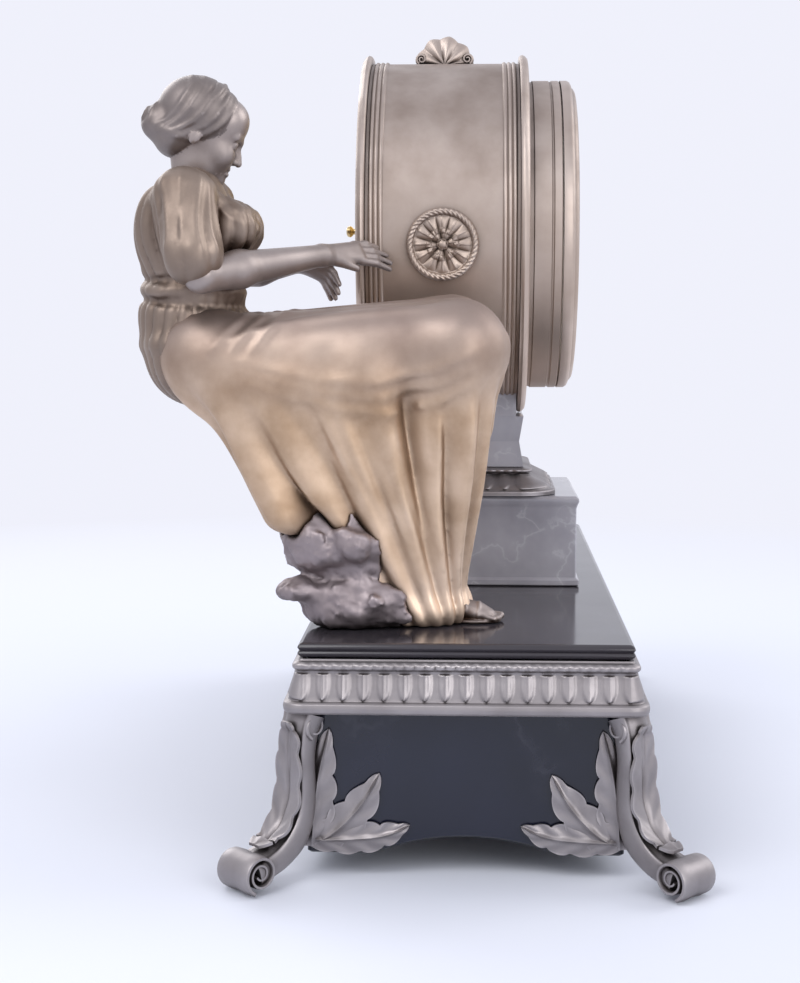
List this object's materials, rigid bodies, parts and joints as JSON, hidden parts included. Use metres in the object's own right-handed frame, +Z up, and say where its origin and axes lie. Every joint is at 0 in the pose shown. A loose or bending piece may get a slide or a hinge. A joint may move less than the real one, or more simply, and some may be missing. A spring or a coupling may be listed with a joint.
{
  "type": "figural mantel clock",
  "caption": "Figural mantel clock: a seated draped figure with its hands on a drum case with a glazed hinged bezel, on a black marble plinth with scroll feet.",
  "frame": {"origin": "under the middle of the clock's bounding box, on the plane that its four feet stand on", "axes": "+X along the plinth to the right of someone who faces the dial, -Y out of the dial, +Z up"},
  "size_m": [0.4282, 0.2362, 0.3536],
  "materials": {
    "black_marble": "polished black marble",
    "grey_marble": "polished grey-blue marble",
    "grey_bronze": "patinated grey-brown bronze",
    "gilt_bronze": "rubbed gilt bronze",
    "figure_bronze": "warm satin bronze",
    "brass": "polished brass",
    "bell_metal": "turned bell metal",
    "steel": "brushed steel",
    "blued_steel": "blued steel",
    "enamel": "white enamel",
    "clear_glass": "clear",
    "base_wood": "dull brown board"
  },
  "bodies": {
    "case": {"top_slab": "black_marble", "cornice_frame": "grey_bronze", "plinth_block": "black_marble", "base_board": "base_wood", "corner_foot_rear_right": "grey_bronze", "corner_foot_rear_left": "grey_bronze", "corner_foot_front_left": "grey_bronze", "corner_foot_front_right": "grey_bronze", "pedestal_step": "grey_marble", "pedestal_moulding": "grey_bronze", "pedestal_neck": "grey_marble", "pedestal_rod": "steel", "pedestal_nut": "steel", "figure_rod": "steel", "figure_nut": "steel", "rock_seat": "grey_bronze", "figure_skirt": "gilt_bronze", "figure_torso": "figure_bronze", "figure_head": "figure_bronze", "figure_right_arm": "figure_bronze", "figure_left_arm": "figure_bronze", "figure_foot": "figure_bronze", "drum_shell": "grey_bronze", "front_flange": "grey_bronze", "rear_flange": "grey_bronze", "front_collar": "grey_bronze", "strap_left": "steel", "strap_right": "steel", "rosette_left": "grey_bronze", "rosette_right": "grey_bronze", "shell_crest": "grey_bronze", "bezel_hinge_pin": "steel", "door_hinge_pin": "steel", "dial": "enamel", "movement_front_plate": "brass", "movement_back_plate": "brass", "suspension_cock": "brass", "bell": "bell_metal", "bell_stand": "steel"},
    "glazed_bezel": {"bezel": "grey_bronze", "bezel_glass": "clear_glass"},
    "rear_door": {"rear_door": "brass"},
    "centre_arbor": {"centre_wheel": "brass", "minute_hand": "blued_steel"},
    "going_barrel": {"going_barrel": "brass"},
    "going_arbor": {"going_arbor": "steel"},
    "strike_barrel": {"strike_barrel": "brass"},
    "strike_arbor": {"strike_arbor": "steel"},
    "third_wheel": {"third_wheel": "brass"},
    "escape_wheel": {"escape_wheel": "brass"},
    "motion_wheel": {"minute_wheel": "brass"},
    "hour_pipe": {"hour_wheel": "brass", "hour_hand": "blued_steel"},
    "pendulum": {"pendulum": "brass"},
    "anchor": {"anchor": "steel"},
    "hammer": {"hammer": "steel"}
  },
  "joints": [
    {"name": "minute_hand_turn", "type": "hinge", "parent": "case", "child": "centre_arbor", "pos_m": [0, -0.02097, 0.259], "axis": [0, 1, 0], "continuous": true},
    {"name": "going_barrel_turn", "type": "hinge", "parent": "case", "child": "going_barrel", "pos_m": [-0.01813, -0.02097, 0.25055], "axis": [0, 1, 0], "continuous": true},
    {"name": "third_wheel_turn", "type": "hinge", "parent": "case", "child": "third_wheel", "pos_m": [0.01378, -0.02097, 0.27058], "axis": [0, 1, 0], "continuous": true},
    {"name": "escape_wheel_turn", "type": "hinge", "parent": "case", "child": "escape_wheel", "pos_m": [0, -0.02097, 0.2765], "axis": [0, 1, 0], "continuous": true},
    {"name": "motion_wheel_turn", "type": "hinge", "parent": "case", "child": "motion_wheel", "pos_m": [0, -0.02097, 0.275], "axis": [0, 1, 0], "continuous": true},
    {"name": "hour_hand_turn", "type": "hinge", "parent": "case", "child": "hour_pipe", "pos_m": [0, -0.02097, 0.259], "axis": [0, 1, 0], "continuous": true},
    {"name": "going_winding_turn", "type": "hinge", "parent": "case", "child": "going_arbor", "pos_m": [-0.01813, -0.02097, 0.25055], "axis": [0, 1, 0], "continuous": true},
    {"name": "strike_barrel_turn", "type": "hinge", "parent": "case", "child": "strike_barrel", "pos_m": [0.01813, -0.02097, 0.25055], "axis": [0, 1, 0], "continuous": true},
    {"name": "strike_winding_turn", "type": "hinge", "parent": "case", "child": "strike_arbor", "pos_m": [0.01813, -0.02097, 0.25055], "axis": [0, 1, 0], "continuous": true},
    {"name": "pendulum_swing", "type": "hinge", "parent": "case", "child": "pendulum", "pos_m": [0, -0.01407, 0.289], "axis": [0, 1, 0], "range_deg": [-4, 4]},
    {"name": "anchor_rock", "type": "hinge", "parent": "case", "child": "anchor", "pos_m": [0, -0.01407, 0.289], "axis": [0, 1, 0], "range_deg": [-4, 4]},
    {"name": "hammer_lift", "type": "hinge", "parent": "case", "child": "hammer", "pos_m": [-0.031, -0.00407, 0.2408], "axis": [0, -1, 0], "range_deg": [0, 14], "stiffness_Nm_per_rad": 0.02},
    {"name": "bezel_open", "type": "hinge", "parent": "case", "child": "glazed_bezel", "pos_m": [0.0759, -0.06357, 0.259], "axis": [0, 0, 1], "range_deg": [0, 110]},
    {"name": "rear_door_open", "type": "hinge", "parent": "case", "child": "rear_door", "pos_m": [0.07, 0.03193, 0.259], "axis": [0, 0, -1], "range_deg": [0, 110]}
  ],
  "couplings": [
    {"joint": "going_barrel_turn", "follows": "minute_hand_turn", "ratio": -0.25},
    {"joint": "third_wheel_turn", "follows": "minute_hand_turn", "ratio": -5},
    {"joint": "escape_wheel_turn", "follows": "minute_hand_turn", "ratio": 20},
    {"joint": "motion_wheel_turn", "follows": "minute_hand_turn", "ratio": -0.33333},
    {"joint": "hour_hand_turn", "follows": "minute_hand_turn", "ratio": 0.083333},
    {"joint": "anchor_rock", "follows": "pendulum_swing", "ratio": 1}
  ]
}
